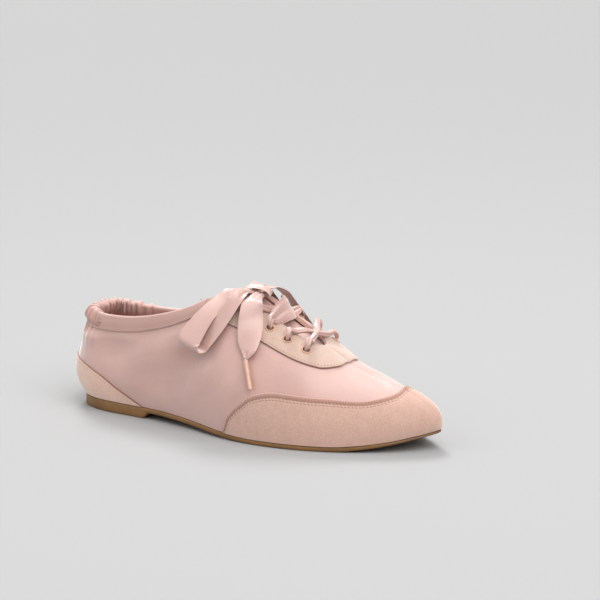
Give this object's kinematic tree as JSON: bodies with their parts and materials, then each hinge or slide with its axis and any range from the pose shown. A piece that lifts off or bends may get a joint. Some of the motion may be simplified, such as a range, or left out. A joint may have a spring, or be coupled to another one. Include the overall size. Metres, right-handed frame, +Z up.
{
  "type": "ballet sneaker",
  "caption": "Low satin lace-up ballet sneaker, right foot: suede toe, heel and eyelet overlays, elastic-gathered collar, wide ribbon bow, thin gum sole, low heel.",
  "frame": {"origin": "on the floor under the middle of the heel", "axes": "+X towards the toe, +Y towards the medial side, +Z up"},
  "size_m": [0.2587, 0.09, 0.0869],
  "materials": {
    "gum_rubber": "matte gum brown",
    "insole_cloth": "soft pink lining cloth",
    "satin": "dusty pink satin",
    "suede": "nude pink suede",
    "satin_binding": "gathered dusty pink satin",
    "tongue_satin": "dusty pink satin",
    "ribbon": "glossy pink satin ribbon",
    "enamel": "nude enamel",
    "aglet_plastic": "nude shrunk tip"
  },
  "bodies": {
    "root": {"outsole": "gum_rubber", "insole": "insole_cloth", "upper": "satin", "toe_mudguard": "suede", "heel_counter": "suede", "eyestay": "suede", "collar_binding": "satin_binding", "tongue": "tongue_satin", "eyelet_lateral_1": "enamel", "eyelet_lateral_2": "enamel", "eyelet_lateral_3": "enamel", "eyelet_lateral_4": "enamel", "eyelet_lateral_5": "enamel", "eyelet_medial_1": "enamel", "eyelet_medial_2": "enamel", "eyelet_medial_3": "enamel", "eyelet_medial_4": "enamel", "eyelet_medial_5": "enamel", "lace_front_cross": "ribbon", "lace_rear_cross": "ribbon", "lace_top_bar": "ribbon", "bow_knot": "ribbon", "bow_loop_lateral": "ribbon", "bow_loop_medial": "ribbon", "bow_tail_lateral": "ribbon", "bow_tail_medial": "ribbon", "aglet_lateral": "aglet_plastic", "aglet_medial": "aglet_plastic"}
  },
  "joints": []
}
